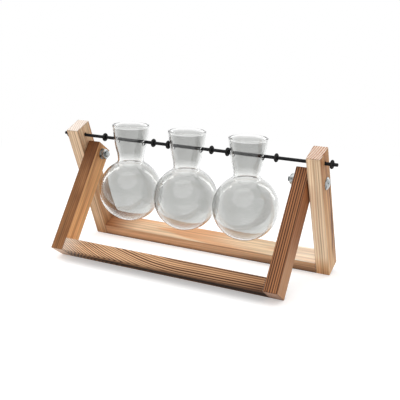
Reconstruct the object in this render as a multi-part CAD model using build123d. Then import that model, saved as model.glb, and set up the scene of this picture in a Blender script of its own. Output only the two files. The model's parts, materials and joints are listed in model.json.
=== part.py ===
from build123d import *
import math
import os

# A propagation vase: clear glass flasks hang on a black rod across the top of a folding wooden stand.
# +X runs along the rod, +Y to the rear, +Z up. The origin is on the table, under the middle of the stand.

# Flasks
flask_height = 108.2
bulb_radius = 34.8
neck_radius = 14.4
mouth_radius = 20.0
glass_wall = 1.5
waist_rise = 3.0
hole_below_rim = 18.5
shoulder_fillet = 4.0
bead_height = 2.6
bead_proud = 0.4
bead_round_share = 0.44
hang_hole_radius = 3.0
# Height up the neck, and how much of the flare from neck to mouth is reached there
flare_shares = ((0.36, 0.42), (0.63, 0.74))
flare_tip_slope = 0.06

# Row of flasks along the rod
bulb_gap = 1.1
row_shift = -3.0
side_room = 13.2

# Timber frames
leg_thickness = 15.0
leg_depth = 24.0
rear_rail_height = 13.5
front_rail_height = 14.5
edge_round = 0.8
outer_lean = 23.3
inner_lean = 33.9
outer_above_pivot = 35.3
outer_below_pivot = 112.0
inner_above_pivot = 9.8

# Hidden dowels in the corner joints
dowel_radius = 2.5
dowel_sink_share = 0.65
dowel_spread_share = 0.25
dowel_clearance = 0.05
dowel_end_room = 0.5

# Pivot bolts, nuts and washers
bolt_radius = 3.0
bolt_head_radius = 6.5
bolt_head_height = 3.4
bolt_head_rim = 0.7
bolt_neck_length = 3.5
bolt_tip_chamfer = 0.6
thread_past_nut = 2.6
nut_across_flats = 10.0
nut_height = 5.0
nut_chamfer = 0.7
nut_washer_radius = 6.2
nut_washer_thickness = 1.2
spacer_radius = 8.0
spacer_thickness = 1.2
washer_play = 0.2
bolt_clearance = 0.05
pivot_clearance = 0.1

# Rod and stop rings
rod_radius = 1.75
rod_end_chamfer = 0.4
rod_past_leg = 13.0
rod_hole_below_top = 11.2
rod_hole_play = 0.5
ring_section_radius = 1.4
end_ring_past_leg = 7.0
# Where each flask's two rings stand between its mouth and the halfway line to the next flask
ring_shares = ((0.90, 0.52), (0.0, 0.52), (0.0, 0.68))

# Fits
running_clearance = 0.05
overrun = 2.0

# Sizes that follow
bulb_z = hole_below_rim - flask_height + bulb_radius
waist_z = bulb_z + math.sqrt(bulb_radius**2 - neck_radius**2) + waist_rise
rim_z = hole_below_rim - bead_height / 2
flask_pitch = 2 * bulb_radius + bulb_gap
leg_gap = spacer_thickness + running_clearance
inner_half_width = flask_pitch + bulb_radius + side_room + leg_thickness
outer_half_width = inner_half_width + leg_gap + leg_thickness
half_depth = leg_depth / 2
dowel_half_length = dowel_sink_share * leg_thickness
washer_bore_radius = bolt_radius + washer_play
nut_washer_face = -(2 * leg_thickness + leg_gap + running_clearance)
nut_face = nut_washer_face - nut_washer_thickness
bolt_tip = nut_face - nut_height - thread_past_nut


def rounding_rise(lean):
    """How far a rounded corner of a leaning leg stands in from the sharp one."""
    a = math.radians(lean)
    return edge_round * (math.cos(a) + math.sin(a) - 1)


def foot_drop(lean, below):
    """Height of the pivot over the lowest edge of a leg that leans."""
    a = math.radians(lean)
    return below * math.cos(a) + half_depth * math.sin(a) - rounding_rise(lean)


def foot_reach(lean, below):
    """How far the foot of a leaning leg stands out from under the pivot."""
    a = math.radians(lean)
    return below * math.sin(a) + half_depth * math.cos(a) - rounding_rise(lean)


# The inner legs are as long as it takes to stand on the same table as the outer ones
pivot_z = foot_drop(outer_lean, outer_below_pivot)
inner_below_pivot = (pivot_z - foot_drop(inner_lean, 0)) / math.cos(math.radians(inner_lean))
pivot_y = (foot_reach(inner_lean, inner_below_pivot) - foot_reach(outer_lean, outer_below_pivot)) / 2
outer_place = Pos(0, pivot_y, pivot_z) * Rot(outer_lean, 0, 0)
inner_place = Pos(0, pivot_y, pivot_z) * Rot(-inner_lean, 0, 0)

# The rod lies on the bottom of its holes, and each flask hangs from the top of its own two
rod_hole_radius = rod_radius + rod_hole_play
rod_hole_height = outer_above_pivot - rod_hole_below_top
rod_hole_centre = (outer_place * Pos(0, 0, rod_hole_height)).position
rod_y = rod_hole_centre.Y
rod_z = rod_hole_centre.Z - (rod_hole_play - running_clearance)
hang_z = rod_z - (hang_hole_radius - rod_radius - running_clearance)
rod_half_length = outer_half_width + rod_past_leg
flask_words = ("left", "middle", "right")
flask_places = [row_shift + step * flask_pitch for step in (-1, 0, 1)]
ring_start = mouth_radius + 2 * ring_section_radius
ring_room = flask_pitch / 2 - ring_start

parts = {}


def keep(name, shape):
    parts[name] = shape
    shape.label = name


def along_x(radius, length):
    return Rot(0, 90, 0) * Cylinder(radius, length)


def end_for_side(side):
    """Turns a piece drawn for the right end round to the left one."""
    return Rot(0, 0, 0 if side > 0 else 180)


def dowel_spots(rail_height, below):
    """Depth and height of the two dowels in a corner, in the frame's own plane."""
    spread = dowel_spread_share * leg_depth
    height = rail_height / 2 - below
    return [(-spread, height), (spread, height)]


# Timber

def leg(middle_x, above, below, rail_height, joint_x, pivot_hole_radius):
    length = above + below
    bar = fillet(Box(leg_thickness, leg_depth, length).edges(), edge_round)
    bar = Pos(middle_x, 0, (above - below) / 2) * bar
    bar -= Pos(middle_x, 0, 0) * along_x(pivot_hole_radius, leg_thickness + overrun)
    return bar - dowel_holes(joint_x, rail_height, below)


def rail(length, height, below):
    bar = Box(length, leg_depth, height)
    bar = fillet(bar.edges().filter_by(Axis.X), edge_round)
    bar = Pos(0, 0, height / 2 - below) * bar
    for side in (-1, 1):
        bar -= dowel_holes(side * length / 2, height, below)
    return bar


def dowels(joint_x, rail_height, below, radius, half_length):
    return [
        Pos(joint_x, y, z) * along_x(radius, 2 * half_length)
        for y, z in dowel_spots(rail_height, below)
    ]


def dowel_holes(joint_x, rail_height, below):
    room = dowel_half_length + dowel_end_room
    return Compound(dowels(joint_x, rail_height, below, dowel_radius + dowel_clearance, room))


for side, word in ((-1, "left"), (1, "right")):
    outer_joint = side * (outer_half_width - leg_thickness)
    inner_joint = side * (inner_half_width - leg_thickness)
    outer_leg = leg(
        side * (outer_half_width - leg_thickness / 2),
        outer_above_pivot,
        outer_below_pivot,
        rear_rail_height,
        outer_joint,
        bolt_radius + bolt_clearance,
    )
    outer_leg -= Pos(outer_joint, 0, rod_hole_height) * along_x(rod_hole_radius, 2 * leg_thickness + overrun)
    # The square neck under the bolt's head bites into the outer face
    neck_side = 2 * (bolt_radius + bolt_clearance)
    neck_room = Box(2 * (bolt_neck_length + bolt_clearance), neck_side, neck_side)
    outer_leg -= Pos(side * outer_half_width, 0, 0) * neck_room
    keep(f"outer_{word}_leg", outer_place * outer_leg)
    inner_leg = leg(
        side * (inner_half_width - leg_thickness / 2),
        inner_above_pivot,
        inner_below_pivot,
        front_rail_height,
        inner_joint,
        bolt_radius + pivot_clearance,
    )
    keep(f"inner_{word}_leg", inner_place * inner_leg)
    rear_dowels = dowels(outer_joint, rear_rail_height, outer_below_pivot, dowel_radius, dowel_half_length)
    front_dowels = dowels(inner_joint, front_rail_height, inner_below_pivot, dowel_radius, dowel_half_length)
    keep(f"rear_{word}_dowels", outer_place * Compound(rear_dowels))
    keep(f"front_{word}_dowels", inner_place * Compound(front_dowels))

rear_rail_length = 2 * (outer_half_width - leg_thickness)
front_rail_length = 2 * (inner_half_width - leg_thickness)
keep("rear_rail", outer_place * rail(rear_rail_length, rear_rail_height, outer_below_pivot))
keep("front_rail", inner_place * rail(front_rail_length, front_rail_height, inner_below_pivot))


# Pivot hardware, drawn for the right end with the outer leg's face at zero

def pivot_bolt():
    """Domed head and plain shank turned about X, with a square neck under the head."""
    outline = Polyline(
        (bolt_head_height, 0),
        (bolt_tip, 0),
        (bolt_tip, bolt_radius - bolt_tip_chamfer),
        (bolt_tip + bolt_tip_chamfer, bolt_radius),
        (0, bolt_radius),
        (0, bolt_head_radius),
        (bolt_head_rim, bolt_head_radius),
    )
    dome = bolt_head_height - bolt_head_rim
    dome_radius = (bolt_head_radius**2 + dome**2) / (2 * dome)
    crown = CenterArc(
        (bolt_head_height - dome_radius, 0),
        dome_radius,
        0,
        math.degrees(math.asin(bolt_head_radius / dome_radius)),
    )
    turned = revolve(make_face(outline.edges() + crown.edges()), Axis.X)
    neck = Box(bolt_neck_length, 2 * bolt_radius, 2 * bolt_radius)
    return turned + Pos(-bolt_neck_length / 2, 0, 0) * neck


def ring_plate(outer_radius, bore_radius, thickness):
    return along_x(outer_radius, thickness) - along_x(bore_radius, thickness + overrun)


def pivot_nut():
    """Hexagon with its corners turned off on both faces."""
    across = nut_across_flats / 2
    hexagon = extrude(Plane.YZ * RegularPolygon(across, 6, major_radius=False), nut_height / 2, both=True)
    corner_radius = across / math.cos(math.radians(30))
    blank = Rot(0, 90, 0) * chamfer(Cylinder(corner_radius, nut_height).edges(), nut_chamfer / 2, nut_chamfer)
    return (hexagon & blank) - along_x(bolt_radius + bolt_clearance, nut_height + overrun)


for side, word in ((-1, "left"), (1, "right")):
    end = outer_place * Pos(side * outer_half_width, 0, 0) * end_for_side(side)
    keep(f"{word}_pivot_bolt", end * pivot_bolt())
    spacer = ring_plate(spacer_radius, washer_bore_radius, spacer_thickness)
    keep(f"{word}_spacer_washer", end * Pos(-leg_thickness - spacer_thickness / 2, 0, 0) * spacer)
    washer = ring_plate(nut_washer_radius, washer_bore_radius, nut_washer_thickness)
    keep(f"{word}_nut_washer", end * Pos(nut_washer_face - nut_washer_thickness / 2, 0, 0) * washer)
    keep(f"{word}_pivot_nut", end * Pos(nut_face - nut_height / 2, 0, 0) * pivot_nut())


# Rod and stop rings

rod = chamfer(Cylinder(rod_radius, 2 * rod_half_length).edges(), rod_end_chamfer)
keep("hanging_rod", Pos(0, rod_y, rod_z) * Rot(0, 90, 0) * rod)


def stop_ring(x):
    """Round-section rubber ring on the rod."""
    middle_radius = rod_radius + running_clearance + ring_section_radius
    return Pos(x, rod_y, rod_z) * Rot(0, 90, 0) * Torus(middle_radius, ring_section_radius)


for word, x, shares in zip(flask_words, flask_places, ring_shares):
    for side, side_word, share in ((-1, "left", shares[0]), (1, "right", shares[1])):
        keep(f"{word}_flask_{side_word}_ring", stop_ring(x + side * (ring_start + share * ring_room)))
for side, word in ((-1, "left"), (1, "right")):
    keep(f"{word}_end_ring", stop_ring(side * (outer_half_width + end_ring_past_leg)))


# Flasks, drawn with the middle of their hanging holes at zero

def flask_outline(inset):
    """Half section of the blown form, moved in by inset: a ball, a waist and a flared neck."""
    ball = bulb_radius - inset
    waist = neck_radius - inset
    mouth = mouth_radius - inset
    meet_z = bulb_z + math.sqrt(ball**2 - waist**2)
    foot = (0, bulb_z - ball)
    meet = (waist, meet_z)
    narrow = (waist, waist_z)
    flare = [
        (waist + reach * (mouth - waist), waist_z + height * (rim_z - waist_z))
        for height, reach in flare_shares
    ]
    tip = (mouth, rim_z)
    sides = [
        ThreePointArc(foot, (ball, bulb_z), meet),
        Line(meet, narrow),
        Spline(narrow, *flare, tip, tangents=[(0, 1), (flare_tip_slope, 1)]),
        Polyline(tip, (0, rim_z), foot),
    ]
    section = make_face([edge for side in sides for edge in side.edges()])
    corner = section.vertices().sort_by_distance((*meet, 0))[0]
    return fillet(corner, shoulder_fillet + inset)


def flask():
    """Blown wall turned about Z with a rolled bead at the mouth and two holes for the rod."""
    wall = flask_outline(0) - flask_outline(glass_wall)
    bead_width = glass_wall + bead_proud
    bead_middle = mouth_radius - glass_wall + bead_width / 2
    bead_round = bead_round_share * min(bead_width, bead_height)
    wall += Pos(bead_middle, rim_z, 0) * RectangleRounded(bead_width, bead_height, bead_round)
    blown = revolve(Plane.XZ * wall, Axis.Z)
    return blown - along_x(hang_hole_radius, 2 * (mouth_radius + overrun))


for word, x in zip(flask_words, flask_places):
    keep(f"{word}_flask", Pos(x, rod_y, hang_z) * flask())


os.makedirs("parts", exist_ok=True)
for name, shape in parts.items():
    export_step(shape, f"parts/{name}.step")
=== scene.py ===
import json
import math
from typing import NamedTuple

import bmesh
import bpy
import numpy as np
from mathutils import Matrix, Quaternion, Vector


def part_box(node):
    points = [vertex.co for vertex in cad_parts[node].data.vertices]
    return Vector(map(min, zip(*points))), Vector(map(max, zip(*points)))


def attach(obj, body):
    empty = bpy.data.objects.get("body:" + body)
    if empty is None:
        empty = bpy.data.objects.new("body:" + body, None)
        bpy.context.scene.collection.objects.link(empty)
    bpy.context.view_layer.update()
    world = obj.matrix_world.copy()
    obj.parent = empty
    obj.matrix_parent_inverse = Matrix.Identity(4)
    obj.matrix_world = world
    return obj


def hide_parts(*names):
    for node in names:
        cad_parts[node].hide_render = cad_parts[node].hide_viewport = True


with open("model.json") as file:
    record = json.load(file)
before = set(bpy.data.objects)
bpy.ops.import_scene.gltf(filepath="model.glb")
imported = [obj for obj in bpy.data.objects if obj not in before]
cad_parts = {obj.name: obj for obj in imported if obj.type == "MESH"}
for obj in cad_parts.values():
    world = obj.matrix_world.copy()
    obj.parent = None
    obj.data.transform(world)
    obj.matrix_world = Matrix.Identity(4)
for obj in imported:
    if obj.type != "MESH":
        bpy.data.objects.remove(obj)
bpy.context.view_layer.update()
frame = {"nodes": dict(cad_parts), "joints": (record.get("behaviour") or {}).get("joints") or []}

bl_info = {
    "name": "Propagation vase",
    "version": (1, 0, 0),
    "blender": (4, 5, 0),
    "location": "3D View > Sidebar > Vase",
    "description": "Scorched wood, blown glass and plated hardware for a folding propagation vase",
    "category": "Object",
}

MM = 0.001
FLASKS = ("left_flask", "middle_flask", "right_flask")
SIDES = ("left", "right")
PIVOT = Vector(next(j for j in frame["joints"] if j["name"] == "stand_fold")["pos_m"])

# Scales of the noises, in turns per metre. On a board the last one runs with the grain.
WANDER_NOISE = (26, 26, 7)
FIBRE_NOISE = (2100, 2100, 34)
BAND_NOISE = (450, 450, 7)
PATCH_NOISE = (55, 55, 16)
STREAK_NOISE = (240, 240, 11)
LINE_NOISE = (230, 230, 4)
DOWEL_NOISE = (30, 1500, 1500)
RIPPLE_NOISE = (40, 40, 28)
HAZE_NOISE = (70, 70, 70)
SMUDGE_NOISE = (230, 260, 260)
CLOUD_NOISE = (90, 90, 90)
GRIT_NOISE = (1900, 1900, 1900)

# Where a noise turns into a mark, and late wood into a dark ring on a sawn end
STREAK_STEP = (0.47, 0.53)
LINE_STEP = (0.42, 0.58)
SMUDGE_STEP = (0.42, 0.62)
RUB_STEP = (0.45, 0.75)
CUT_STEP = (0.20, 0.60)

# A growth ring: where its late wood rises and falls, how uneven the rings are and how weak one may be
LATE_RISE = (0.12, 0.72)
LATE_FALL = (0.88, 1.0)
UNEVEN_RATE = 0.37
UNEVEN_SHARE = 0.5
SEED_STEP = 7.0
WEAK_RING = 0.60
BOW_START = 30 * MM

# The wood's tone by its fibres and bands, how patchy the heat is, and how far the edges are rubbed
FIBRE_TONE = (0.76, 1.24)
BAND_TONE = (0.425, 1.575)
PATCHES = (0.6, 1.4)
EDGE_RUB = 0.8

# The wood's roughness, what late wood and the painted shade under the rails add to it, the shares of fibres
# and late wood in the relief, and the wood's sheen
WOOD_ROUGH = (0.50, 0.70)
LATE_ROUGH = -0.10
UNDER_SHADE_ROUGH = 0.4
FIBRE_RELIEF = 0.45
LATE_RELIEF = 0.8
WOOD_SHEEN = 0.2

# Masks of a board's faces. Minus and Plus are its faces at -X and +X.
# Along goes from -1 at the low end to 1 at the high end.
FACE_MASKS = (
    "Front", "Minus", "Plus", "End", "Edge", "Along", "Low End", "Low Edge", "Lower", "Rear", "Under",
    "Front Along", "Plus Along", "Plus Low End", "Minus Low", "Minus High",
)

# How far these masks reach: in from a face, across it, or along from an end.
# Lower half is in shares of half the board's thickness, and under start is where the underside's mask begins.
SKIN = 0.5 * MM
LOW_END = 30 * MM
# LOW_EDGE and UNDERSIDE reach as far as the painted shade on the rails' lower edges and undersides
LOW_EDGE = 3.2 * MM
UNDERSIDE = 13.0 * MM
REAR_BAND = (-2.0 * MM, 6.0 * MM)
MINUS_LOW = (20 * MM, 50 * MM)
MINUS_HIGH = (25 * MM, 60 * MM)
LOWER_HALF = (-0.5, 1.0)
UNDER_START = 0.30

# Where marks fade or grow along a board, as Along gives it, and the share that their weak end has
STREAK_FADE = (0.55, 0.95)
LINE_SPAN = (-0.6, 0.6)
LINE_START = 0.3
WEAR_FADE = (-0.6, 0.0)
# The painted shade under the rails: where it grows along a rail, and the share that its low end has
UNDER_SHADE_SPAN = (-1.0, -0.5)
UNDER_SHADE_START = 0.65

# The glass's painted reflections: where its wall turns away and where it is seen along its length it is
# painted lighter, and how the painted highlight bands at the rim and the waist fade
TURNED_AWAY_REFLECTION = (0.18, 0.66)
EDGE_ON_REFLECTION = (0.90, 1.0)
RIM_HIGHLIGHT_FADE = (0.4, 1.3)
WAIST_HIGHLIGHT_SHARE = 0.85
GLASS_HAZE = 0.03
GLASS_RIPPLE = 0.25 * MM
GLASS_SHADOW = (0.95, 0.95, 0.95)

# The rod, rings and plating: how pale rubbing and bloom leave them, and their sheen, roughness and grit
COATING_RUB = 2.6
RUBBER_BLOOM = 0.012
BLACK_SHEEN = 0.13
COATING_ROUGH = (0.32, 0.57)
RUBBER_ROUGH = (0.5, 0.7)
ZINC_ROUGH = (0.12, 0.42)
METAL_GRIT = 0.02 * MM
RUBBER_GRIT = 0.03 * MM

# The stage: half the floor's width, where the floor fades to white, and the point that the lamps face
FLOOR_HALF = 6.0
FLOOR_FADE = (0.25, 0.8)
LAMP_AIM = Vector((0, 0, 0.07))


def paint(red, green, blue):
    """A colour given as it looks on screen, 0 to 255, turned into linear light."""
    shares = (np.array((red, green, blue)) / 255.0).tolist()
    return tuple(s / 12.92 if s <= 0.04045 else ((s + 0.055) / 1.055) ** 2.4 for s in shares)


class Board(NamedTuple):
    """How one piece of timber was sawn and scorched. Lengths are in millimetres, in the board's own axes.

    Pith is the rings' centre, slope how the grain leans from it, and bow how it bends away towards the low
    end. Ring is the rings' spacing, wander how far they stray, and stripe their strength on the front and
    elsewhere. Pale and dark are the early and the late wood.

    Fill is how far the late wood's colour spreads over the early wood, tan how deep a clear brown stain
    the heat left, and scorch_and_shade how far a face was scorched. Each has its shares by the masks of the
    board's faces. The shares on the rails' undersides (Plus) and on the legs' faces at +X are partly painted
    shade.

    Cut is how much of the pale sawn look the ends keep, and how strong their rings are. Under_shade is
    painted
    shade: how black the underside is painted, and its share on the lower edge. Lower_darkening darkens the
    front towards its lower edge. Streaks are dark marks by the rear edge of the face at +X, and lines are
    dark lines on the front. Wear bares the face at +X towards the low end, and scuff rubs the low end pale.
    """

    node: str
    frame: str
    along: str
    pith: tuple
    slope: tuple
    ring: float
    wander: float
    stripe: tuple
    pale: tuple
    dark: tuple
    tan: dict
    scorch_and_shade: dict
    cut: tuple
    seed: float
    fill: dict = {}
    bow: float = 0.0
    char: tuple = ()
    lower_darkening: float = 0.0
    streaks: float = 0.0
    lines: float = 0.0
    wear: float = 0.0
    scuff: float = 0.0


# In a board's own axes Z runs with the grain. On a leg X crosses the stand and -Y is the front face.
# On a rail X points down and -Y is the front face.
# On a rail Plus is the underside, on a leg the face at +X. There the Plus shares of tan and scorch_and_shade
# are partly painted shade.
BOARDS = (
    Board(
        "outer_left_leg", "outer", "leg", pith=(90, 25), slope=(0.012, 0.0), ring=2.9, wander=2.4,
        stripe=(0.55, 0.55), pale=paint(238, 211, 177), dark=paint(172, 112, 72),
        tan={"Front": 0.02, "Plus": 0.26, "Low End": 0.22, "Along": -0.18},
        scorch_and_shade={"Front": 0.02, "Minus": 0.10, "Plus": 0.14, "Low End": 0.05, "Along": -0.05},
        cut=(1.0, 0.30), seed=3.1),
    Board(
        "outer_right_leg", "outer", "leg", pith=(-95, 18), slope=(-0.008, 0.004), ring=2.5, wander=2.0,
        stripe=(0.47, 0.47), pale=paint(255, 232, 198), dark=paint(188, 112, 66),
        tan={"Minus": 0.1, "Plus": 0.42, "Low End": 0.45, "Along": 0.05, "Plus Along": 0.12,
             "Plus Low End": -0.45},
        scorch_and_shade={"Minus": 0.15, "Plus": -0.02, "Along": 0.14},
        cut=(0.8, 1.15), seed=7.7, streaks=0.9),
    # The underside of this rail is painted shade: char and the Plus shares darken it
    Board(
        "rear_rail", "outer", "rail", pith=(33.9, -1), slope=(0.025, 0.003), ring=3.6, wander=2.6,
        stripe=(0.25, 1.0), pale=paint(255, 246, 226), dark=paint(240, 196, 158),
        fill={"Front": 0.75, "Minus": 0.15, "Plus": 0.6, "Low End": 0.15, "Along": -0.30},
        tan={"Front": 0.24, "Minus": 0.27, "Plus": 0.6, "Low End": 0.12, "Front Along": 0.10,
             "Minus Low": 0.08, "Minus High": -0.26},
        scorch_and_shade={"Plus": 0.4, "Low End": 0.14, "Minus Low": 0.36},
        cut=(0.6, 0.8), seed=12.4, char=(0.9, 0.6), lower_darkening=0.30, lines=0.5),
    Board(
        "inner_left_leg", "inner", "leg", pith=(100, 10), slope=(0.006, 0.0), ring=2.5, wander=1.6,
        stripe=(0.50, 0.45), pale=paint(255, 199, 140), dark=paint(184, 112, 64),
        tan={"Front": 0.12, "Minus": 0.2, "Plus": 0.07, "Along": 0.04},
        scorch_and_shade={"Front": 0.93, "Minus": 0.5, "Plus": 0.16, "Low End": 0.05, "Along": 0.18},
        cut=(0.7, 0.6), seed=5.2),
    Board(
        "inner_right_leg", "inner", "leg", pith=(110, 12), slope=(0.004, 0.0), ring=2.3, wander=0.7,
        stripe=(1.1, 0.2), pale=paint(168, 112, 72), dark=paint(46, 20, 10),
        tan={"Minus": 0.3, "Plus": 0.10, "Low End": -0.10, "Along": 0.04, "Plus Along": 0.05},
        scorch_and_shade={"Minus": 0.2, "Plus": 0.05, "Low End": -0.10},
        cut=(0.22, 0.3), seed=9.6, wear=0.32),
    # The underside of this rail is painted shade: char and the Plus shares darken it
    Board(
        "front_rail", "inner", "rail", pith=(-75, 30), slope=(0.004, 0.0), bow=1.7, ring=1.9, wander=1.2,
        stripe=(1.1, 1.0), pale=paint(235, 188, 144), dark=paint(78, 37, 18),
        tan={"Front": 0.03, "Minus": 0.1, "Plus": 0.3, "Along": 0.10},
        scorch_and_shade={"Front": 0.08, "Minus": 0.1, "Plus": 0.2, "Along": 0.42},
        cut=(0.7, 0.8), seed=15.8, char=(1.0, 0.28), lower_darkening=0.22, scuff=0.36),
)


class Lamp(NamedTuple):
    """A soft lamp that faces the middle of the stand: round, or an upright strip where it has a height."""

    name: str
    place: tuple
    size: float
    power: float
    height: float = 0.0


LAMPS = (
    Lamp("key_lamp", place=(0.20, -0.95, 1.15), size=2.0, power=9.9),
    Lamp("top_lamp", place=(-0.30, 0.15, 1.3), size=1.8, power=6.6),
    # Narrow strips that show as glints down the sides of the flasks
    Lamp("left_strip", place=(-1.0, 0.09, 0.60), size=0.20, power=1.9, height=1.0),
    Lamp("right_strip", place=(0.5, 0.87, 0.60), size=0.20, power=1.9, height=1.0),
)


# Settings

class VaseWood(bpy.types.PropertyGroup):
    """Sizes and colours of the timber's finish."""

    outer_lean: bpy.props.FloatProperty(
        name="Outer lean", description="How far the outer legs lean from upright, top to the front",
        default=math.radians(23.3), subtype="ANGLE", unit="ROTATION")
    inner_lean: bpy.props.FloatProperty(
        name="Inner lean", description="How far the inner legs lean from upright, top to the rear",
        default=math.radians(33.9), subtype="ANGLE", unit="ROTATION")
    # These two colours also paint shade, where the boards' Plus shares darken rail undersides and faces at +X
    scorch_and_shade: bpy.props.FloatVectorProperty(
        name="Scorch", description="What a fully scorched face keeps of its colour",
        default=(0.19, 0.14, 0.11), size=3, subtype="COLOR", min=0, max=1)
    tan: bpy.props.FloatVectorProperty(
        name="Tan", description="What a stain of full depth keeps of the wood's colour",
        default=(0.42, 0.20, 0.09), size=3, subtype="COLOR", min=0, max=1)
    # Painted shade: the near-black colour painted on the rails' undersides and lower edges
    char: bpy.props.FloatVectorProperty(
        name="Char", description="Colour of the undersides of the rails",
        default=(0.010, 0.005, 0.003), size=3, subtype="COLOR", min=0, max=1)
    fresh_cut: bpy.props.FloatVectorProperty(
        name="Fresh cut", description="Pale wood of the sawn ends", default=paint(237, 226, 214), size=3,
        subtype="COLOR", min=0, max=1)
    cut_ring: bpy.props.FloatVectorProperty(
        name="Cut ring", description="Dark rings of the sawn ends", default=paint(160, 92, 60), size=3,
        subtype="COLOR", min=0, max=1)
    worn: bpy.props.FloatVectorProperty(
        name="Worn", description="Tan wood where a scorched face is worn",
        default=paint(232, 187, 145), size=3, subtype="COLOR", min=0, max=1)
    streak: bpy.props.FloatVectorProperty(
        name="Streak", description="Colour of dark streaks along the grain",
        default=paint(88, 44, 20), size=3, subtype="COLOR", min=0, max=1)
    edge_width: bpy.props.FloatProperty(
        name="Edge width", description="Width of the rubbed band along each edge", default=1.3 * MM,
        unit="LENGTH")
    relief: bpy.props.FloatProperty(
        name="Relief", description="Depth of the brushed grain", default=0.12 * MM, unit="LENGTH")


class VaseGlass(bpy.types.PropertyGroup):
    """Look of the blown flasks."""

    clear: bpy.props.FloatVectorProperty(
        name="Clear", description="What the wall lets through where it is seen square on",
        default=(0.625, 0.63, 0.62), size=3, subtype="COLOR", min=0, max=1)
    # Painted reflection: bright and edge paint the wall lighter where it turns away and where it is seen
    # along its length
    bright: bpy.props.FloatVectorProperty(
        name="Bright", description="What the wall lets through where it turns away",
        default=(0.93, 0.935, 0.93), size=3, subtype="COLOR", min=0, max=1)
    edge: bpy.props.FloatVectorProperty(
        name="Edge", description="What the wall lets through where it is seen along its length",
        default=(0.80, 0.81, 0.81), size=3, subtype="COLOR", min=0, max=1)
    # Painted highlight: bright bands painted at the rim and at the waist, the waist's over a dark refraction
    # line
    rim_waist_highlight: bpy.props.FloatVectorProperty(
        name="Bare", description="What the wall lets through at the rim and the waist",
        default=(0.97, 0.975, 0.97), size=3, subtype="COLOR", min=0, max=1)
    rim_highlight_depth: bpy.props.FloatProperty(
        name="Rim depth", description="Height of the bright band at the rim", default=3.2 * MM, unit="LENGTH")
    waist_drop: bpy.props.FloatProperty(
        name="Waist drop", description="From the rim down to the waist", default=39.5 * MM, unit="LENGTH")
    # The waist's band that fades out here is a painted highlight
    waist_highlight_reach: bpy.props.FloatProperty(
        name="Waist reach", description="How far the waist's clear band fades out, up and down",
        default=7.5 * MM, unit="LENGTH")
    refraction: bpy.props.FloatProperty(
        name="Refraction", description="Index of refraction of soda glass", default=1.5, min=1, max=2)


class VaseHardware(bpy.types.PropertyGroup):
    """Sizes and colours of the rod, rings and pivot hardware."""

    zinc: bpy.props.FloatVectorProperty(
        name="Zinc", description="Colour of the plated hardware", default=(0.44, 0.46, 0.46), size=3,
        subtype="COLOR", min=0, max=1)
    smudge: bpy.props.FloatVectorProperty(
        name="Smudge", description="Colour of the dark smudges on the plating",
        default=(0.16, 0.17, 0.17), size=3, subtype="COLOR", min=0, max=1)
    black: bpy.props.FloatVectorProperty(
        name="Black", description="Colour of the coated rod", default=(0.006, 0.006, 0.007), size=3,
        subtype="COLOR", min=0, max=1)
    rubber: bpy.props.FloatVectorProperty(
        name="Rubber", description="Colour of the stop rings", default=(0.008, 0.008, 0.008), size=3,
        subtype="COLOR", min=0, max=1)
    thread_pitch: bpy.props.FloatProperty(
        name="Thread pitch", description="Pitch of the bolt's thread", default=1.0 * MM, unit="LENGTH")
    thread_depth: bpy.props.FloatProperty(
        name="Thread depth", description="Depth of the bolt's thread", default=0.55 * MM, unit="LENGTH")


class VaseStage(bpy.types.PropertyGroup):
    """Camera, floor and light."""

    azimuth: bpy.props.FloatProperty(
        name="Azimuth", description="Camera's turn round the stand", default=math.radians(27.19),
        subtype="ANGLE", unit="ROTATION")
    elevation: bpy.props.FloatProperty(
        name="Elevation", description="Camera's height over the horizon", default=math.radians(14.52),
        subtype="ANGLE", unit="ROTATION")
    roll: bpy.props.FloatProperty(
        name="Roll", description="Camera's turn about its own line of sight", default=math.radians(1.49),
        subtype="ANGLE", unit="ROTATION")
    distance: bpy.props.FloatProperty(
        name="Distance", description="From the camera to the point it looks at", default=0.7993,
        unit="LENGTH")
    aim: bpy.props.FloatVectorProperty(
        name="Aim", description="Point the camera looks at, from the pivot",
        default=(0.0098, -0.0007, -0.0367), size=3, subtype="XYZ", unit="LENGTH")
    lens: bpy.props.FloatProperty(
        name="Lens", description="Focal length in millimetres", default=66.25)
    ambient: bpy.props.FloatProperty(
        name="Ambient", description="Strength of the light from all round", default=0.55, min=0)
    floor_tone: bpy.props.FloatProperty(
        name="Floor tone", description="Lightness of the floor", default=0.80, min=0, max=1)
    floor_lift: bpy.props.FloatProperty(
        name="Floor lift", description="What is added where the floor is looked at", default=0.36, min=0)


# Shader tools

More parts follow.
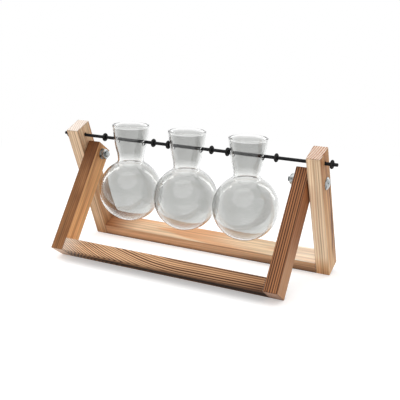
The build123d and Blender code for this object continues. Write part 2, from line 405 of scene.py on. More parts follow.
class Wires:
    """A node tree with short ways to add and join its nodes."""

    def __init__(self, tree):
        self.tree = tree

    def node(self, kind, **settings):
        """A new node with its settings."""
        made = self.tree.nodes.new(kind)
        for name, value in settings.items():
            setattr(made, name, value)
        return made

    def put(self, socket, value):
        """Links a socket to another one, or sets it to a plain value."""
        if isinstance(value, bpy.types.NodeSocket):
            self.tree.links.new(value, socket)
        else:
            socket.default_value = value

    def math(self, operation, first, second=0.0, third=0.0):
        """Arithmetic on one to three values."""
        made = self.node("ShaderNodeMath", operation=operation)
        for socket, value in zip(made.inputs, (first, second, third)):
            self.put(socket, value)
        return made.outputs[0]

    def product(self, first, *others):
        """All the values multiplied together."""
        for other in others:
            first = self.math("MULTIPLY", first, other)
        return first

    def between(self, share, low, high):
        """Low where the share is nothing, high where it is one, and in line with it."""
        return self.math("MULTIPLY_ADD", share, high - low, low)

    def ease(self, value, low, high, start=0.0, end=1.0):
        """Smooth step from start to end as a value goes from low to high."""
        made = self.node("ShaderNodeMapRange", interpolation_type="SMOOTHSTEP")
        names = ("Value", "From Min", "From Max", "To Min", "To Max")
        for name, number in zip(names, (value, low, high, start, end)):
            self.put(made.inputs[name], number)
        return made.outputs["Result"]

    def vector(self, operation, first, second=(0, 0, 0)):
        """Arithmetic on one or two vectors."""
        made = self.node("ShaderNodeVectorMath", operation=operation)
        self.put(made.inputs[0], first)
        self.put(made.inputs[1], second)
        return made.outputs["Value" if operation == "LENGTH" else "Vector"]

    def split(self, vector):
        """The X, Y and Z of a vector."""
        made = self.node("ShaderNodeSeparateXYZ")
        self.put(made.inputs[0], vector)
        return made.outputs

    def join(self, **parts):
        """A vector with the given X, Y or Z, and nothing elsewhere."""
        made = self.node("ShaderNodeCombineXYZ")
        for name, value in parts.items():
            self.put(made.inputs[name], value)
        return made.outputs[0]

    def colour(self, red, green, blue):
        """A colour from its three channels."""
        made = self.node("ShaderNodeCombineColor")
        for socket, value in zip(made.inputs, (red, green, blue)):
            self.put(socket, value)
        return made.outputs[0]

    def noise(self, place, scale, detail=2.0, roughness=0.5):
        """Noise that is stretched by its three scales, in turns per metre."""
        made = self.node("ShaderNodeTexNoise")
        self.put(made.inputs["Vector"], self.vector("MULTIPLY", place, scale))
        for name, number in (("Scale", 1.0), ("Detail", detail), ("Roughness", roughness)):
            self.put(made.inputs[name], number)
        return made.outputs["Fac"]

    def mix(self, share, first, second, blend="MIX"):
        """Two colours mixed or blended. The node's sockets for colours come after those for other data."""
        made = self.node("ShaderNodeMix", data_type="RGBA", blend_type=blend)
        self.put(made.inputs["Factor"], share)
        self.put(made.inputs[6], first)
        self.put(made.inputs[7], second)
        return made.outputs[2]


def opaque(colour):
    """A colour with full alpha."""
    return (*colour, 1.0)


def new_group(name, inputs, outputs):
    """An empty shader group with named sockets, as wires with its two ends."""
    tree = bpy.data.node_groups.new(name, "ShaderNodeTree")
    for label, kind, value in inputs:
        socket = tree.interface.new_socket(label, in_out="INPUT", socket_type=kind)
        if value is not None:
            socket.default_value = value
    for label, kind in outputs:
        tree.interface.new_socket(label, in_out="OUTPUT", socket_type=kind)
    wires = Wires(tree)
    start = wires.node("NodeGroupInput")
    end = wires.node("NodeGroupOutput")
    return wires, start.outputs, end.inputs


def use_group(wires, name, **values):
    """Places a shader group in a material and sets its inputs by name."""
    made = wires.node("ShaderNodeGroup", node_tree=bpy.data.node_groups[name])
    for label, value in values.items():
        wires.put(made.inputs[label], value)
    return made.outputs


def new_material(name):
    """A material with one Principled shader, as (material, wires, shader's inputs)."""
    made = bpy.data.materials.new(name)
    made.use_nodes = True
    wires = Wires(made.node_tree)
    shader = made.node_tree.nodes["Principled BSDF"]
    return made, wires, shader.inputs


def add_bump(wires, shader_inputs, height, distance):
    """Gives a shader fine relief: the height, from nothing to one, over a distance."""
    made = wires.node("ShaderNodeBump")
    wires.put(made.inputs["Height"], height)
    made.inputs["Distance"].default_value = distance
    made.inputs["Strength"].default_value = 1.0
    wires.put(shader_inputs["Normal"], made.outputs["Normal"])


def object_place(wires):
    """Where a point is in the stand."""
    return wires.node("ShaderNodeTexCoord").outputs["Object"]


def dress(node, material):
    """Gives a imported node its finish."""
    piece = frame["nodes"][node]
    if not piece.material_slots:
        piece.data.materials.append(material)
    for slot in piece.material_slots:
        slot.material = material


# Shared effects

def make_grain_group():
    """Growth rings about a pith line, cut by the board's faces.

    The board's line from the pith leans by the slope. Towards the low end it also bends away, by the bow
    times the square of the distance from a point near the middle. The distance from the pith, pushed about by
    slow noise, is counted in rings of uneven width. In each ring the colour goes slowly from pale early wood
    to dark late wood and back at once. Fine fibres and wider bands run with the grain.
    """
    wires, given, out = new_group(
        "Sawn softwood",
        [
            ("Place", "NodeSocketVector", None),
            ("Pith", "NodeSocketVector", None),
            ("Slope", "NodeSocketVector", None),
            ("Bow", "NodeSocketFloat", 0.0),
            ("Seed", "NodeSocketFloat", 0.0),
            ("Ring", "NodeSocketFloat", 0.002),
            ("Wander", "NodeSocketFloat", 0.001),
            ("Stripe", "NodeSocketFloat", 1.0),
            ("Fill", "NodeSocketFloat", 0.0),
            ("Pale", "NodeSocketColor", None),
            ("Dark", "NodeSocketColor", None),
        ],
        [("Colour", "NodeSocketColor"), ("Late", "NodeSocketFloat"), ("Fibre", "NodeSocketFloat"),
         ("Patch", "NodeSocketFloat")],
    )
    length = wires.split(given["Place"])["Z"]
    seeded = wires.vector("ADD", given["Place"], wires.join(Z=given["Seed"]))
    slant = wires.node("ShaderNodeVectorMath", operation="SCALE")
    wires.put(slant.inputs[0], given["Slope"])
    wires.put(slant.inputs["Scale"], length)
    leaning = wires.vector("ADD", given["Place"], slant.outputs[0])
    past = wires.math("MINIMUM", wires.math("SUBTRACT", length, BOW_START), 0.0)
    bowed = wires.vector("ADD", leaning, wires.join(X=wires.product(past, past, given["Bow"])))
    from_pith = wires.vector("SUBTRACT", bowed, given["Pith"])
    reach = wires.vector("LENGTH", wires.vector("MULTIPLY", from_pith, (1, 1, 0)))
    push = wires.math("SUBTRACT", wires.noise(seeded, WANDER_NOISE), 0.5)
    wander = wires.math("MULTIPLY", given["Wander"], 2.0)
    rings = wires.math("DIVIDE", wires.math("MULTIPLY_ADD", push, wander, reach), given["Ring"])
    uneven = wires.node("ShaderNodeTexNoise", noise_dimensions="1D")
    wires.put(uneven.inputs["W"], wires.math("MULTIPLY_ADD", rings, UNEVEN_RATE, given["Seed"]))
    uneven.inputs["Scale"].default_value = 1.0
    uneven.inputs["Detail"].default_value = 1.0
    counted = wires.math("MULTIPLY_ADD", uneven.outputs["Fac"], UNEVEN_SHARE, rings)
    ring_seed = wires.math("MULTIPLY", given["Seed"], SEED_STEP)
    which = wires.node("ShaderNodeTexWhiteNoise", noise_dimensions="1D")
    wires.put(which.inputs["W"], wires.math("FLOOR", wires.math("ADD", counted, ring_seed)))
    phase = wires.math("FRACT", counted)
    rising = wires.ease(phase, *LATE_RISE)
    falling = wires.ease(phase, *LATE_FALL, 1.0, 0.0)
    late = wires.product(rising, falling, wires.between(which.outputs["Value"], WEAK_RING, 1.0))
    fibre = wires.noise(seeded, FIBRE_NOISE, detail=3.0, roughness=0.6)
    band = wires.noise(seeded, BAND_NOISE, detail=2.5)
    tone = wires.product(wires.between(fibre, *FIBRE_TONE), wires.between(band, *BAND_TONE))
    share = wires.math("MULTIPLY_ADD", late, given["Stripe"], given["Fill"])
    blended = wires.mix(share, given["Pale"], given["Dark"])
    wires.put(out["Colour"], wires.mix(1.0, blended, wires.colour(tone, tone, tone), "MULTIPLY"))
    wires.put(out["Late"], late)
    wires.put(out["Fibre"], fibre)
    wires.put(out["Patch"], wires.noise(seeded, PATCH_NOISE, detail=3.0, roughness=0.55))


def make_face_group():
    """Which face of a board a point is on, and how near it is to an edge.

    The point's distances in from the three pairs of faces are compared. On a face one of them is nothing,
    so the middle one of the three is the distance to the nearest edge.
    """
    wires, given, out = new_group(
        "Board faces",
        [("Place", "NodeSocketVector", None), ("Half", "NodeSocketVector", None),
         ("Width", "NodeSocketFloat", 0.001)],
        [(name, "NodeSocketFloat") for name in FACE_MASKS],
    )
    place = wires.split(given["Place"])
    half = wires.split(given["Half"])
    x, y, z = wires.split(wires.vector("SUBTRACT", given["Half"], wires.vector("ABSOLUTE", given["Place"])))
    at_side = wires.ease(x, 0.0, SKIN, 1.0, 0.0)
    at_face = wires.ease(y, 0.0, SKIN, 1.0, 0.0)
    on_plus = wires.math("GREATER_THAN", place["X"], 0.0)
    front = wires.product(at_face, wires.math("LESS_THAN", place["Y"], 0.0))
    plus = wires.product(at_side, on_plus)
    minus = wires.product(at_side, wires.math("SUBTRACT", 1.0, on_plus))
    total = wires.math("ADD", wires.math("ADD", x, y), z)
    most = wires.math("MAXIMUM", wires.math("MAXIMUM", x, y), z)
    least = wires.math("MINIMUM", wires.math("MINIMUM", x, y), z)
    middle = wires.math("SUBTRACT", wires.math("SUBTRACT", total, most), least)
    along = wires.math("DIVIDE", place["Z"], half["Z"])
    from_low = wires.math("ADD", place["Z"], half["Z"])
    from_high = wires.math("SUBTRACT", half["Z"], place["Z"])
    from_plus = wires.math("SUBTRACT", half["X"], place["X"])
    low_end = wires.ease(from_low, 0.0, LOW_END, 1.0, 0.0)
    masks = {
        "Front": front,
        "Minus": minus,
        "Plus": plus,
        "End": wires.ease(z, 0.0, SKIN, 1.0, 0.0),
        "Edge": wires.ease(middle, 0.0, given["Width"], 1.0, 0.0),
        "Along": along,
        "Low End": low_end,
        "Low Edge": wires.ease(from_plus, 0.0, LOW_EDGE, 1.0, 0.0),
        "Lower": wires.ease(wires.math("DIVIDE", place["X"], half["X"]), *LOWER_HALF),
        "Rear": wires.ease(place["Y"], *REAR_BAND),
        "Under": wires.ease(y, 0.0, UNDERSIDE, UNDER_START, 1.0),
        "Front Along": wires.product(front, along),
        "Plus Along": wires.product(plus, along),
        "Plus Low End": wires.product(plus, low_end),
        "Minus Low": wires.product(minus, wires.ease(from_low, *MINUS_LOW, 1.0, 0.0)),
        "Minus High": wires.product(minus, wires.ease(from_high, *MINUS_HIGH, 1.0, 0.0)),
    }
    for name, mask in masks.items():
        wires.put(out[name], mask)


def make_speckle_group():
    """Handling marks: noise at two scales, wide clouds and fine grit, as values about a half."""
    wires, given, out = new_group(
        "Handling marks",
        [("Place", "NodeSocketVector", None)],
        [("Cloud", "NodeSocketFloat"), ("Grit", "NodeSocketFloat")],
    )
    wires.put(out["Cloud"], wires.noise(given["Place"], CLOUD_NOISE, detail=3.0))
    wires.put(out["Grit"], wires.noise(given["Place"], GRIT_NOISE))


# Timber

def board_turn(board, wood):
    """How the board's own axes lie in the stand."""
    lean = wood.outer_lean if board.frame == "outer" else -wood.inner_lean
    turn = Matrix.Rotation(lean, 3, "X")
    if board.along == "rail":
        turn = turn @ Matrix.Rotation(math.pi / 2, 3, "Y")
    return turn


def board_half_size(board, turn):
    """Half of the board's thickness, depth and length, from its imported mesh."""
    mesh = frame["nodes"][board.node].data
    points = np.empty(len(mesh.vertices) * 3, np.float32)
    mesh.vertices.foreach_get("co", points)
    own = points.reshape(-1, 3) @ np.array(turn)
    return Vector(((own.max(0) - own.min(0)) / 2).tolist())


def face_sum(wires, faces, shares):
    """Adds up the masks of a board's faces, each times its own share."""
    total = 0.0
    for mask, share in shares.items():
        total = wires.math("MULTIPLY_ADD", faces[mask], share, total)
    return total


def stained(wires, colour, tint, depth):
    """A colour seen through a clear stain: each channel of the tint to the power of the depth."""
    kept = wires.colour(*(wires.math("POWER", share, depth) for share in tint))
    return wires.mix(1.0, colour, kept, "MULTIPLY")


def heated_and_shaded(wires, board, wood, faces, patchy, colour):
    """The wood's colour after the flame, which stains and burns each face differently and in patches. On the
    rails' undersides and the legs' faces at +X the same darkening is partly painted shade.
    """
    # Partly painted shade: the Plus shares darken the rails' undersides and the legs' faces at +X
    depth = wires.product(face_sum(wires, faces, board.tan), patchy)
    colour = stained(wires, colour, wood.tan, wires.math("MAXIMUM", depth, 0.0))
    burnt_and_shaded = face_sum(wires, faces, board.scorch_and_shade)
    # Darkens the front towards its lower edge
    if board.lower_darkening:
        lower = wires.product(faces["Front"], faces["Lower"])
        burnt_and_shaded = wires.math("MULTIPLY_ADD", lower, board.lower_darkening, burnt_and_shaded)
    scorched = wires.mix(1.0, colour, opaque(wood.scorch_and_shade), "MULTIPLY")
    return wires.mix(wires.product(burnt_and_shaded, patchy), colour, scorched)


def marked(wires, board, wood, faces, patchy, place, colour):
    """The wood's colour with the streaks, lines, wear and scuffs that its board has."""
    if board.streaks:
        streaks = wires.ease(wires.noise(place, STREAK_NOISE), *STREAK_STEP)
        inside = wires.ease(wires.math("ABSOLUTE", faces["Along"]), *STREAK_FADE, board.streaks, 0.0)
        streaks = wires.product(streaks, faces["Rear"], inside, faces["Plus"])
        colour = wires.mix(streaks, colour, opaque(wood.streak))
    if board.lines:
        lines = wires.ease(wires.noise(place, LINE_NOISE, detail=1.0), *LINE_STEP)
        share = wires.ease(faces["Along"], *LINE_SPAN, LINE_START * board.lines, board.lines)
        colour = wires.mix(wires.product(lines, faces["Front"], share), colour, opaque(wood.streak))
    if board.wear:
        worn = wires.product(faces["Plus"], wires.ease(faces["Along"], *WEAR_FADE, board.wear, 0.0))
        colour = wires.mix(worn, colour, opaque(wood.worn))
    if board.scuff:
        scuff = wires.product(faces["Low End"], patchy, board.scuff)
        colour = wires.mix(scuff, colour, opaque(wood.fresh_cut))
    return colour


def painted_under_shade(wires, board, faces):
    """How black a rail's underside and lower edge are painted as shade, less so at its low end."""
    under_share, edge_share = board.char
    under = wires.product(faces["Plus"], faces["Under"])
    black = wires.math("MAXIMUM", under, wires.product(faces["Low Edge"], edge_share))
    strength = wires.ease(faces["Along"], *UNDER_SHADE_SPAN, UNDER_SHADE_START * under_share, under_share)
    return wires.product(black, strength)


def scorched_wood(board, wood):
    """Sawn and brushed softwood, scorched more on some faces than others and rubbed along its edges, with
    painted shade on the rails' undersides and in part on the faces at +X.
    """
    material, wires, shader = new_material(f"scorched_{board.node}")
    low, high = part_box(board.node)
    turn = board_turn(board, wood)
    mapping = wires.node("ShaderNodeMapping", vector_type="TEXTURE")
    wires.put(mapping.inputs["Vector"], object_place(wires))
    mapping.inputs["Location"].default_value = (low + high) / 2
    mapping.inputs["Rotation"].default_value = turn.to_euler("XYZ")
    place = mapping.outputs["Vector"]
    half = board_half_size(board, turn)
    faces = use_group(wires, "Board faces", Place=place, Half=half, Width=wood.edge_width)
    front_stripe, side_stripe = board.stripe
    grain = use_group(
        wires, "Sawn softwood", Place=place, Pith=Vector((*board.pith, 0)) * MM, Slope=(*board.slope, 0),
        Bow=board.bow, Seed=board.seed, Ring=board.ring * MM, Wander=board.wander * MM,
        Stripe=wires.between(faces["Front"], side_stripe, front_stripe),
        Fill=face_sum(wires, faces, board.fill), Pale=opaque(board.pale), Dark=opaque(board.dark))
    patchy = wires.between(grain["Patch"], *PATCHES)
    colour = heated_and_shaded(wires, board, wood, faces, patchy, grain["Colour"])
    colour = marked(wires, board, wood, faces, patchy, place, colour)
    dull = wires.between(grain["Fibre"], *WOOD_ROUGH)
    dull = wires.math("MULTIPLY_ADD", grain["Late"], LATE_ROUGH, dull)
    # Painted shade: the rails' undersides and lower edges are painted near black, and made rougher
    if board.char:
        black = painted_under_shade(wires, board, faces)
        colour = wires.mix(black, colour, opaque(wood.char))
        dull = wires.math("MULTIPLY_ADD", black, UNDER_SHADE_ROUGH, dull)
    sawn_share, ring_share = board.cut
    cut_line = wires.product(wires.ease(grain["Late"], *CUT_STEP), ring_share)
    sawn = wires.mix(cut_line, opaque(wood.fresh_cut), opaque(wood.cut_ring))
    colour = wires.mix(wires.product(faces["End"], sawn_share), colour, sawn)
    rubbed = wires.product(faces["Edge"], grain["Patch"], EDGE_RUB)
    wires.put(shader["Base Color"], wires.mix(rubbed, colour, opaque(wood.scorch_and_shade), "MULTIPLY"))
    wires.put(shader["Roughness"], dull)
    shader["Specular IOR Level"].default_value = WOOD_SHEEN
    late_height = wires.product(grain["Late"], LATE_RELIEF)
    height = wires.math("MULTIPLY_ADD", grain["Fibre"], FIBRE_RELIEF, late_height)
    add_bump(wires, shader, height, wood.relief)
    return material


def plain_dowel_wood():
    """Turned dowel: pale wood with streaks along X."""
    material, wires, shader = new_material("plain_dowel")
    streaks = wires.noise(object_place(wires), DOWEL_NOISE, detail=3.0)
    pale, dark = opaque(paint(226, 192, 150)), opaque(paint(190, 150, 108))
    wires.put(shader["Base Color"], wires.mix(streaks, pale, dark))
    shader["Roughness"].default_value = 0.6
    return material


class VASE_OT_timber(bpy.types.Operator):
    """Finishes both frames as scorched and brushed softwood"""

    bl_idname = "vase.timber"
    bl_label = "Finish timber"

    def execute(self, context):
        make_grain_group()
        make_face_group()
        for board in BOARDS:
            dress(board.node, scorched_wood(board, context.scene.vase_wood))
        dowel = plain_dowel_wood()
        for node in frame["nodes"]:
            if node.endswith("_dowels"):
                dress(node, dowel)
        return {"FINISHED"}


# Glass

def blown_glass(glass):
    """Clear glass with a light grey, painted lighter as painted reflection where the wall turns away, and
    with painted highlight bands at the rim and at the waist.

    Its shadow is light.
    """
    material, wires, shader = new_material("blown_glass")
    weight = wires.node("ShaderNodeLayerWeight")
    weight.inputs["Blend"].default_value = 0.5
    facing = weight.outputs["Facing"]
    # Painted reflection: the grey wall is painted lighter where it turns away and where it is seen edge on
    wall = wires.mix(wires.ease(facing, *TURNED_AWAY_REFLECTION), opaque(glass.clear), opaque(glass.bright))
    wall = wires.mix(wires.ease(facing, *EDGE_ON_REFLECTION), wall, opaque(glass.edge))
    place = object_place(wires)
    _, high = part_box(FLASKS[0])
    from_top = wires.math("SUBTRACT", high.z, wires.split(place)["Z"])
    # Painted highlight: bright bands at the rim and at the waist
    rim_from, rim_to = (share * glass.rim_highlight_depth for share in RIM_HIGHLIGHT_FADE)
    rim = wires.ease(from_top, rim_from, rim_to, 1.0, 0.0)
    from_waist = wires.math("ABSOLUTE", wires.math("SUBTRACT", from_top, glass.waist_drop))
    waist = wires.ease(from_waist, 0.0, glass.waist_highlight_reach, WAIST_HIGHLIGHT_SHARE, 0.0)
    wires.put(shader["Base Color"], wires.mix(wires.math("MAXIMUM", rim, waist), wall, opaque(glass.rim_waist_highlight)))
    shader["Transmission Weight"].default_value = 1.0
    shader["IOR"].default_value = glass.refraction
    wires.put(shader["Roughness"], wires.product(wires.noise(place, HAZE_NOISE), GLASS_HAZE))
    add_bump(wires, shader, wires.noise(place, RIPPLE_NOISE, detail=1.0), GLASS_RIPPLE)
    path = wires.node("ShaderNodeLightPath").outputs
    clear = wires.node("ShaderNodeBsdfTransparent")
    clear.inputs["Color"].default_value = opaque(GLASS_SHADOW)
    choose = wires.node("ShaderNodeMixShader")
    wires.put(choose.inputs[0], wires.math("MAXIMUM", path["Is Shadow Ray"], path["Is Diffuse Ray"]))
    wires.put(choose.inputs[1], material.node_tree.nodes["Principled BSDF"].outputs[0])
    wires.put(choose.inputs[2], clear.outputs[0])
    wires.put(material.node_tree.nodes["Material Output"].inputs["Surface"], choose.outputs[0])
    return material


class VASE_OT_flasks(bpy.types.Operator):
    """Finishes the flasks as clear blown glass"""

    bl_idname = "vase.flasks"
    bl_label = "Finish flasks"

    def execute(self, context):
        material = blown_glass(context.scene.vase_glass)
        for node in FLASKS:
            dress(node, material)
        return {"FINISHED"}


# Rod and rings

def coated_black(hardware):
    """Satin black coating with faint rubbed clouds and a fine orange peel."""
    material, wires, shader = new_material("coated_black")
    marks = use_group(wires, "Handling marks", Place=object_place(wires))
    rubbed = wires.ease(marks["Cloud"], *RUB_STEP)
    worn = tuple(COATING_RUB * c for c in hardware.black)
    wires.put(shader["Base Color"], wires.mix(rubbed, opaque(hardware.black), opaque(worn)))
    wires.put(shader["Roughness"], wires.between(marks["Cloud"], *COATING_ROUGH))
    shader["Specular IOR Level"].default_value = BLACK_SHEEN
    add_bump(wires, shader, marks["Grit"], METAL_GRIT)
    return material


def moulded_rubber(hardware):
    """Matt black rubber with a dusty bloom."""
    material, wires, shader = new_material("moulded_rubber")
    marks = use_group(wires, "Handling marks", Place=object_place(wires))
    bloom = tuple(c + RUBBER_BLOOM for c in hardware.rubber)
    wires.put(shader["Base Color"], wires.mix(marks["Grit"], opaque(hardware.rubber), opaque(bloom)))
    wires.put(shader["Roughness"], wires.between(marks["Cloud"], *RUBBER_ROUGH))
    shader["Specular IOR Level"].default_value = BLACK_SHEEN
    add_bump(wires, shader, marks["Grit"], RUBBER_GRIT)
    return material


class VASE_OT_rod(bpy.types.Operator):
    """Finishes the rod and its stop rings"""

    bl_idname = "vase.rod"
    bl_label = "Finish rod and rings"

    def execute(self, context):
        make_speckle_group()
        hardware = context.scene.vase_hardware
        dress("hanging_rod", coated_black(hardware))
        rubber = moulded_rubber(hardware)
        for node in frame["nodes"]:
            if node.endswith("_ring"):
                dress(node, rubber)
        return {"FINISHED"}


# Pivot hardware

def bright_zinc(hardware):
    """Plated steel: bright, with dark smudges in patches and a fine grit."""
    material, wires, shader = new_material("bright_zinc")
    place = object_place(wires)
    marks = use_group(wires, "Handling marks", Place=place)
    smudge = wires.ease(wires.noise(place, SMUDGE_NOISE), *SMUDGE_STEP)
    wires.put(shader["Base Color"], wires.mix(smudge, opaque(hardware.zinc), opaque(hardware.smudge)))
    shader["Metallic"].default_value = 1.0
    wires.put(shader["Roughness"], wires.between(marks["Cloud"], *ZINC_ROUGH))
    add_bump(wires, shader, marks["Grit"], METAL_GRIT)
    return material


def bolt_points(side, hardware, lean, turns=72, dome_rows=18, thread_rows=96):
    """A bolt turned about X: radius and place along the axis are profiles of one parameter.

    From the crown of the dome the profile goes round to its rim, under it to the neck and along to the tip.
    On the neck the radius over the larger of the angle's sine and cosine makes a square, which leans with the
    leg. On the last stretch a triangle wave of the pitch, which moves on by one pitch in each turn, is cut
    into the radius. The wave is clipped, so the root of the thread is flat.
    """
    low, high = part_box(f"{side}_pivot_bolt")
    sign = 1.0 if side == "right" else -1.0
    outer_low, outer_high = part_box(f"outer_{side}_leg")
    face = outer_high.x if side == "right" else -outer_low.x
    crown = high.x if side == "right" else -low.x
    tip = low.x if side == "right" else -high.x
    head_radius = (high.y - low.y) / 2
    shank_radius = 3.0 * MM
    neck = 3.5 * MM
    rim = 0.7 * MM
    threaded = 14 * MM
    chamfer = 0.6 * MM
    clip = 1.25
    dome = crown - face - rim
    ball = (head_radius**2 + dome**2) / (2 * dome)
    swing = np.linspace(0.0, math.asin(head_radius / ball), dome_rows)
    along = np.concatenate([
        crown - ball + ball * np.cos(swing),
        [face],
        [face, face - neck],
        [face - neck, tip + threaded],
        np.linspace(tip + threaded, tip, thread_rows),
        [tip],
    ])
    radius = np.concatenate([
        ball * np.sin(swing),
        [head_radius],
        [shank_radius, shank_radius],
        [shank_radius, shank_radius],
        np.full(thread_rows, shank_radius),
        [0.0],
    ])
    angle = np.linspace(0.0, 2 * math.pi, turns, endpoint=False)
    u, a = np.meshgrid(along, angle, indexing="ij")
    r = np.repeat(radius[:, None], turns, axis=1)
    row = np.arange(len(along))[:, None]
    is_neck = (row > dome_rows) & (row <= dome_rows + 2)
    r = np.where(is_neck, r / np.maximum(np.abs(np.cos(a)), np.abs(np.sin(a))), r)
    wave = np.abs(((u - tip) / hardware.thread_pitch - a / (2 * math.pi)) % 1.0 - 0.5) * 2
    fade = np.clip((tip + threaded - u) / hardware.thread_pitch, 0, 1)
    cut = hardware.thread_depth * np.minimum(clip * wave, 1.0) * fade
    is_thread = (row >= dome_rows + 5) & (row < len(along) - 1)
    r = np.where(is_thread, r - cut, r)
    ease = np.clip((u - tip) / chamfer, 0, 1)
    r = np.where(is_thread, np.minimum(r, shank_radius - chamfer * (1 - ease)), r)
    middle = (low + high) / 2
    turned = a + sign * lean
    return np.stack([sign * u, middle.y + r * np.cos(turned), middle.z + sign * r * np.sin(turned)], axis=-1)


def grid_mesh(name, points):
    """A mesh over a grid that is closed in its second direction, with its first and last rows as poles."""
    rows, columns = points.shape[:2]
    index = np.arange(rows * columns).reshape(rows, columns)
    after = np.roll(index, -1, axis=1)
    faces = np.stack([index[:-1], after[:-1], after[1:], index[1:]], axis=-1).reshape(-1, 4)
    mesh = bpy.data.meshes.new(name)
    mesh.from_pydata(points.reshape(-1, 3).tolist(), [], faces.tolist())
    mesh.validate()
    return mesh


def add_piece(name, mesh, material, body, smooth_angle=math.radians(35)):
    """Puts a finished mesh into the scene on its body, with doubles merged and faces turned outwards."""
    shape = bmesh.new()
    shape.from_mesh(mesh)
    bmesh.ops.remove_doubles(shape, verts=shape.verts, dist=1e-6)
    bmesh.ops.recalc_face_normals(shape, faces=shape.faces)
    shape.to_mesh(mesh)
    shape.free()
    mesh.shade_smooth()
    mesh.set_sharp_from_angle(angle=smooth_angle)
    mesh.materials.append(material)
    piece = bpy.data.objects.new(name, mesh)
    bpy.context.scene.collection.objects.link(piece)
    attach(piece, body)
    return piece


class VASE_OT_hardware(bpy.types.Operator):
    """Makes the threaded bolts and finishes the nuts and washers"""

    bl_idname = "vase.hardware"
    bl_label = "Make pivot hardware"

    def execute(self, context):
        hardware = context.scene.vase_hardware
        lean = context.scene.vase_wood.outer_lean
        zinc = bright_zinc(hardware)
        for side in SIDES:
            mesh = grid_mesh(f"{side}_threaded_bolt", bolt_points(side, hardware, lean))
            bolt = add_piece(f"{side}_threaded_bolt", mesh, zinc, "outer_frame")
            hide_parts(f"{side}_pivot_bolt")
            for part in ("pivot_nut", "nut_washer", "spacer_washer"):
                dress(f"{side}_{part}", zinc)
        return {"FINISHED"}


# Stage

def seen_mask(wires):
    """One where a ray is looked along, straight, in a reflection or through glass."""
    path = wires.node("ShaderNodeLightPath").outputs
    mirrored = wires.math("MAXIMUM", path["Is Camera Ray"], path["Is Glossy Ray"])
    return wires.math("MAXIMUM", mirrored, path["Is Transmission Ray"])


def pale_floor(stage):
    """Matt pale floor that keeps the shadow and reads as white where it is looked at."""
    material = bpy.data.materials.new("pale_floor")
    material.use_nodes = True
    tree = material.node_tree
    tree.nodes.clear()
    wires = Wires(tree)
    matt = wires.node("ShaderNodeBsdfDiffuse")
    matt.inputs["Color"].default_value = opaque((stage.floor_tone,) * 3)
    seen = seen_mask(wires)
    glow = wires.node("ShaderNodeEmission")
    wires.put(glow.inputs["Strength"], wires.product(seen, stage.floor_lift))
    near = wires.node("ShaderNodeAddShader")
    wires.put(near.inputs[0], matt.outputs[0])
    wires.put(near.inputs[1], glow.outputs[0])
    white = wires.node("ShaderNodeEmission")
    outward = wires.ease(wires.vector("LENGTH", object_place(wires)), *FLOOR_FADE)
    both = wires.node("ShaderNodeMixShader")
    wires.put(both.inputs[0], wires.product(seen, outward))
    wires.put(both.inputs[1], near.outputs[0])
    wires.put(both.inputs[2], white.outputs[0])
    end = wires.node("ShaderNodeOutputMaterial")
    wires.put(end.inputs["Surface"], both.outputs[0])
    return material


def add_floor(stage):
    """Lays a wide flat floor under the stand."""
    near, far = -FLOOR_HALF, FLOOR_HALF
    corners = [(near, near, 0), (far, near, 0), (far, far, 0), (near, far, 0)]
    mesh = bpy.data.meshes.new("floor")
    mesh.from_pydata(corners, [], [(0, 1, 2, 3)])
    mesh.materials.append(pale_floor(stage))
    floor = bpy.data.objects.new("floor", mesh)
    bpy.context.scene.collection.objects.link(floor)


def add_world(stage):
    """Sets soft light from all round, which reads as white where it is looked at."""
    world = bpy.data.worlds.new("studio")
    world.use_nodes = True
    bpy.context.scene.world = world
    wires = Wires(world.node_tree)
    background = world.node_tree.nodes["Background"]
    background.inputs["Color"].default_value = (1, 1, 1, 1)
    strength = wires.between(seen_mask(wires), stage.ambient, 1.0)
    wires.put(background.inputs["Strength"], strength)


def add_lamp(lamp):
    """Hangs a lamp so that it faces the middle of the stand."""
    data = bpy.data.lights.new(lamp.name, "AREA")
    data.shape = "RECTANGLE" if lamp.height else "DISK"
    data.size = lamp.size
    data.size_y = lamp.height or lamp.size
    data.energy = lamp.power
    piece = bpy.data.objects.new(lamp.name, data)
    piece.location = lamp.place
    piece.rotation_euler = (LAMP_AIM - piece.location).to_track_quat("-Z", "Y").to_euler()
    bpy.context.scene.collection.objects.link(piece)


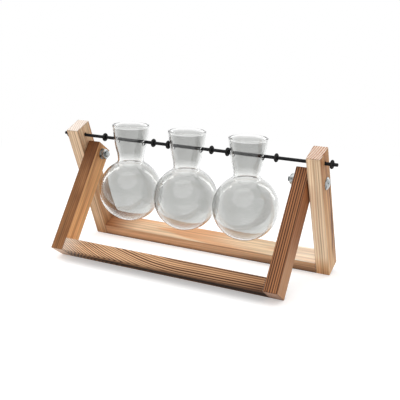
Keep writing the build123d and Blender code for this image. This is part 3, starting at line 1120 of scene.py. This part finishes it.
def add_camera(stage):
    """Places the camera by its turn, height and distance from the point it looks at."""
    a, e = stage.azimuth, stage.elevation
    back = Vector((math.sin(a) * math.cos(e), -math.cos(a) * math.cos(e), math.sin(e)))
    data = bpy.data.cameras.new("photo_camera")
    data.lens = stage.lens
    data.sensor_width = 36.0
    data.clip_start = 0.01
    camera = bpy.data.objects.new("photo_camera", data)
    camera.location = PIVOT + Vector(stage.aim) + back * stage.distance
    camera.rotation_mode = "QUATERNION"
    camera.rotation_quaternion = (-back).to_track_quat("-Z", "Y") @ Quaternion((0, 0, 1), stage.roll)
    bpy.context.scene.collection.objects.link(camera)
    bpy.context.scene.camera = camera


class VASE_OT_stage(bpy.types.Operator):
    """Sets the floor, the light and the camera"""

    bl_idname = "vase.stage"
    bl_label = "Set stage"

    def execute(self, context):
        stage = context.scene.vase_stage
        context.scene.view_settings.view_transform = "Standard"
        add_floor(stage)
        add_world(stage)
        for lamp in LAMPS:
            add_lamp(lamp)
        add_camera(stage)
        return {"FINISHED"}


class VASE_PT_panel(bpy.types.Panel):
    """Lists the steps and settings of the vase"""

    bl_idname = "VASE_PT_panel"
    bl_label = "Propagation vase"
    bl_space_type = "VIEW_3D"
    bl_region_type = "UI"
    bl_category = "Vase"

    def draw(self, context):
        for operator in OPERATORS:
            self.layout.operator(operator.bl_idname)
        for name, kind in SETTINGS:
            box = self.layout.box()
            for field in kind.__annotations__:
                box.prop(getattr(context.scene, name), field)


SETTINGS = (
    ("vase_wood", VaseWood),
    ("vase_glass", VaseGlass),
    ("vase_hardware", VaseHardware),
    ("vase_stage", VaseStage),
)
OPERATORS = (VASE_OT_timber, VASE_OT_flasks, VASE_OT_rod, VASE_OT_hardware, VASE_OT_stage)


def register():
    """Adds the settings, the steps and the panel to Blender."""
    for name, kind in SETTINGS:
        bpy.utils.register_class(kind)
        setattr(bpy.types.Scene, name, bpy.props.PointerProperty(type=kind))
    for kind in (*OPERATORS, VASE_PT_panel):
        bpy.utils.register_class(kind)


def unregister():
    """Takes the panel, the steps and the settings out again."""
    for kind in reversed((*OPERATORS, VASE_PT_panel)):
        bpy.utils.unregister_class(kind)
    for name, kind in reversed(SETTINGS):
        delattr(bpy.types.Scene, name)
        bpy.utils.unregister_class(kind)


def main():
    """Runs every step in order."""
    register()
    bpy.ops.vase.timber()
    bpy.ops.vase.flasks()
    bpy.ops.vase.rod()
    bpy.ops.vase.hardware()
    bpy.ops.vase.stage()


if __name__ == "__main__":
    main()
